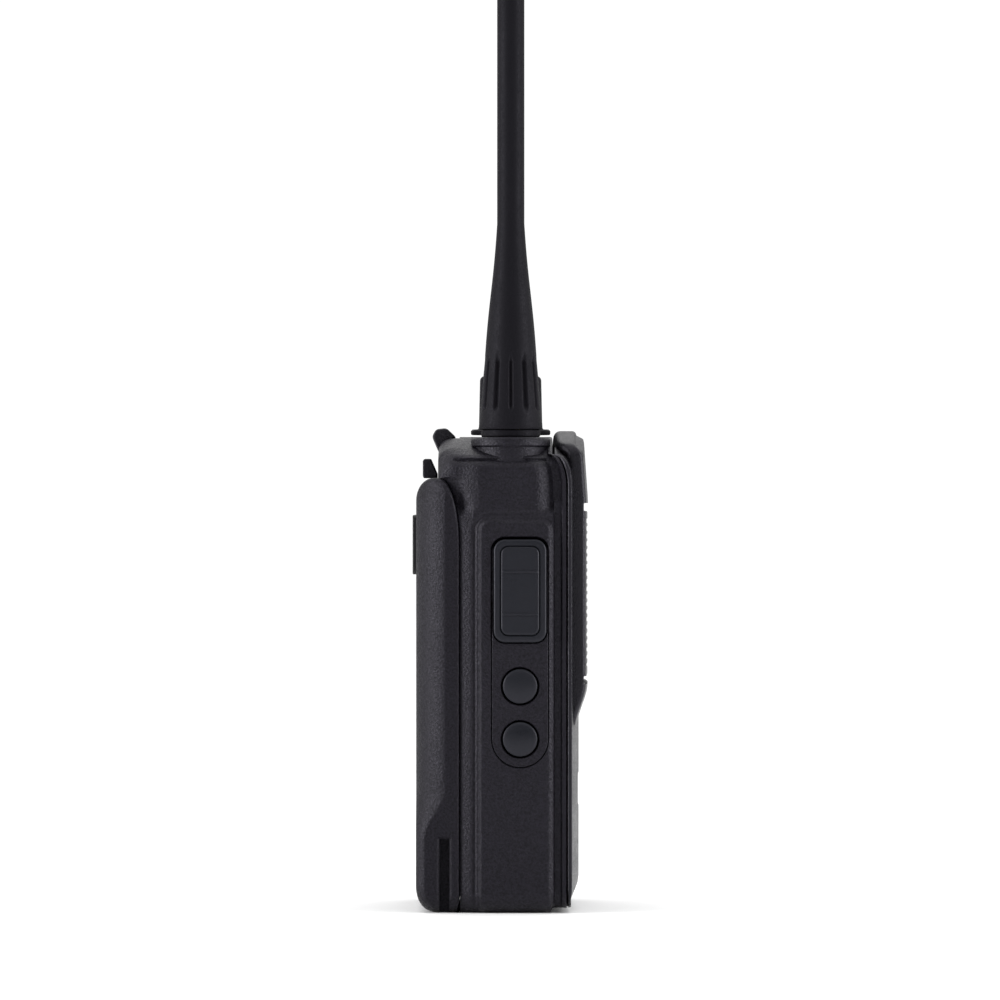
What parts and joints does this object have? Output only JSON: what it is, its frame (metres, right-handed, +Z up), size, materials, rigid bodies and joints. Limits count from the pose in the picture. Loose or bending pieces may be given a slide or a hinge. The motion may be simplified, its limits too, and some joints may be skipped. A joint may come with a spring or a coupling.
{
  "type": "two way radio",
  "caption": "Rugged hand-held two-way radio with whip antenna, top knobs, side talk key and keys, slotted speaker grille, covered accessory jack and clip-on battery pack.",
  "frame": {"origin": "middle of the footprint on the surface it stands on", "axes": "+Z up along the antenna, -Y out of the speaker side, +Y out of the battery side, -X the talk-key side"},
  "size_m": [0.062, 0.0442, 0.2889],
  "materials": {
    "housing_plastic": "fine spark-eroded texture, black",
    "trim_plastic": "satin black",
    "grille_plastic": "satin black",
    "key_rubber": "smooth matt black",
    "soft_rubber": "matt black",
    "mesh_cloth": "fine black cloth",
    "pack_plastic": "fine spark-eroded texture, black",
    "cast_metal": "die-cast, satin",
    "steel": "satin",
    "black_steel": "black coated",
    "brass": "bright",
    "circuit_board": "green solder mask",
    "cell_wrap": "shrink wrap",
    "white_mark": "painted insert",
    "cone_paper": "black treated paper",
    "clear_lens": "frosted clear"
  },
  "bodies": {
    "radio": {"main_housing": "housing_plastic", "front_trim": "trim_plastic", "grille_insert": "grille_plastic", "speaker_mesh": "mesh_cloth", "led_lens": "clear_lens", "speaker_frame": "steel", "speaker_cone": "cone_paper", "speaker_magnet": "steel", "microphone": "steel", "rear_chassis": "cast_metal", "chassis_gasket": "soft_rubber", "chassis_screw_1": "steel", "chassis_screw_2": "steel", "chassis_screw_3": "steel", "chassis_screw_4": "steel", "main_board": "circuit_board", "rf_shield": "steel", "logic_shield": "steel", "contact_block": "trim_plastic", "radio_contact_1": "brass", "radio_contact_2": "brass", "radio_contact_3": "brass", "antenna_socket": "brass", "antenna_collar": "soft_rubber", "channel_switch": "steel", "volume_control": "steel", "channel_nut": "steel", "volume_nut": "steel", "side_key_bezel": "housing_plastic", "side_key_seal": "soft_rubber", "ptt_switch": "steel", "upper_switch": "steel", "lower_switch": "steel", "side_key_board": "circuit_board", "jack_block": "trim_plastic", "latch_pin": "steel", "latch_spring": "steel"},
    "antenna": {"antenna_whip": "soft_rubber", "antenna_insert": "brass"},
    "channel_knob": {"channel_knob": "soft_rubber", "channel_shaft": "steel", "channel_pointer": "white_mark"},
    "volume_knob": {"volume_knob": "soft_rubber", "volume_shaft": "steel", "volume_pointer": "white_mark"},
    "talk_key": {"ptt_button": "key_rubber", "ptt_pad": "key_rubber"},
    "upper_key": {"upper_side_button": "key_rubber"},
    "lower_key": {"lower_side_button": "key_rubber"},
    "jack_cover": {"jack_cover": "soft_rubber"},
    "latch": {"battery_latch": "trim_plastic"},
    "battery": {"battery_case": "pack_plastic", "battery_lid": "pack_plastic", "battery_contacts": "brass", "battery_cell_lower": "cell_wrap", "battery_cell_upper": "cell_wrap", "clip_rail": "black_steel", "rail_screw_1": "black_steel", "rail_screw_2": "black_steel", "battery_thumb_tab": "trim_plastic"}
  },
  "joints": [
    {"name": "antenna_remove", "type": "slide", "parent": "radio", "child": "antenna", "axis": [0, 0, 1], "range_m": [0, 0.012]},
    {"name": "channel_turn", "type": "hinge", "parent": "radio", "child": "channel_knob", "pos_m": [0.0018, -0.0026, 0.12], "axis": [0, 0, -1], "continuous": true},
    {"name": "volume_turn", "type": "hinge", "parent": "radio", "child": "volume_knob", "pos_m": [0.02, -0.0026, 0.12], "axis": [0, 0, -1], "range_deg": [0, 280]},
    {"name": "ptt_press", "type": "slide", "parent": "radio", "child": "talk_key", "axis": [1, 0, 0], "range_m": [0, 0.0012], "stiffness_N_per_m": 900, "springref_m": -0.0015},
    {"name": "upper_key_press", "type": "slide", "parent": "radio", "child": "upper_key", "axis": [1, 0, 0], "range_m": [0, 0.0009], "stiffness_N_per_m": 900, "springref_m": -0.0015},
    {"name": "lower_key_press", "type": "slide", "parent": "radio", "child": "lower_key", "axis": [1, 0, 0], "range_m": [0, 0.0009], "stiffness_N_per_m": 900, "springref_m": -0.0015},
    {"name": "jack_cover_open", "type": "hinge", "parent": "radio", "child": "jack_cover", "pos_m": [0.031, 0.00135, 0.083], "axis": [0, 0, 1], "range_deg": [0, 130]},
    {"name": "latch_turn", "type": "hinge", "parent": "radio", "child": "latch", "pos_m": [0, 0.013, 0.1133], "axis": [-1, 0, 0], "range_deg": [0, 14], "stiffness_Nm_per_rad": 0.05, "springref_deg": -17.19},
    {"name": "battery_remove", "type": "slide", "parent": "radio", "child": "battery", "axis": [0, 1, 0], "range_m": [0, 0.035]}
  ]
}
